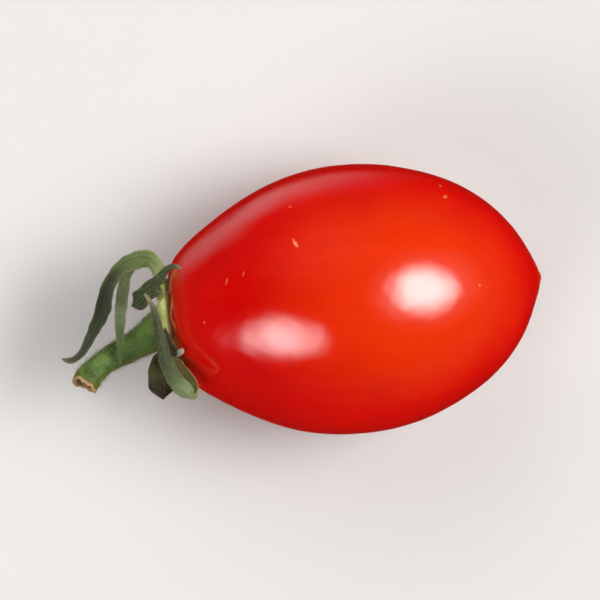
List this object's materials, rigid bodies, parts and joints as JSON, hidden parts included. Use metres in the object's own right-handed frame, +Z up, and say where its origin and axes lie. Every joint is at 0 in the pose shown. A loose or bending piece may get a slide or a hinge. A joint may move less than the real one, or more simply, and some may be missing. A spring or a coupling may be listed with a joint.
{
  "type": "grape tomato",
  "caption": "Oval red grape tomato with a glossy skin, a short bent green stem and a curled, hairy calyx, lying on its side.",
  "frame": {"origin": "centre of the small flat spot the fruit rests on, straight below the fullest part of the fruit", "axes": "+X along the fruit from the stem end to the blossom end, +Z up, -Z out of the flat spot it rests on"},
  "size_m": [0.047, 0.0262, 0.0251],
  "materials": {
    "fruit_skin": "smooth waxy tomato skin, glossy, with fine pale dots",
    "calyx_pale_green": "pale yellow green, dull",
    "stem_green": "fresh green, finely hairy, tan on the cut end",
    "sepal_green": "dull grey green leaf, finely hairy, dry pale tips",
    "sepal_olive": "olive and brown withering leaf, finely hairy"
  },
  "bodies": {
    "root": {"fruit": "fruit_skin", "calyx_base": "calyx_pale_green", "pedicel": "stem_green", "sepal_1": "sepal_green", "sepal_2": "sepal_green", "sepal_3": "sepal_green", "sepal_4": "sepal_green", "sepal_5": "sepal_olive", "sepal_6": "sepal_olive"}
  },
  "joints": []
}
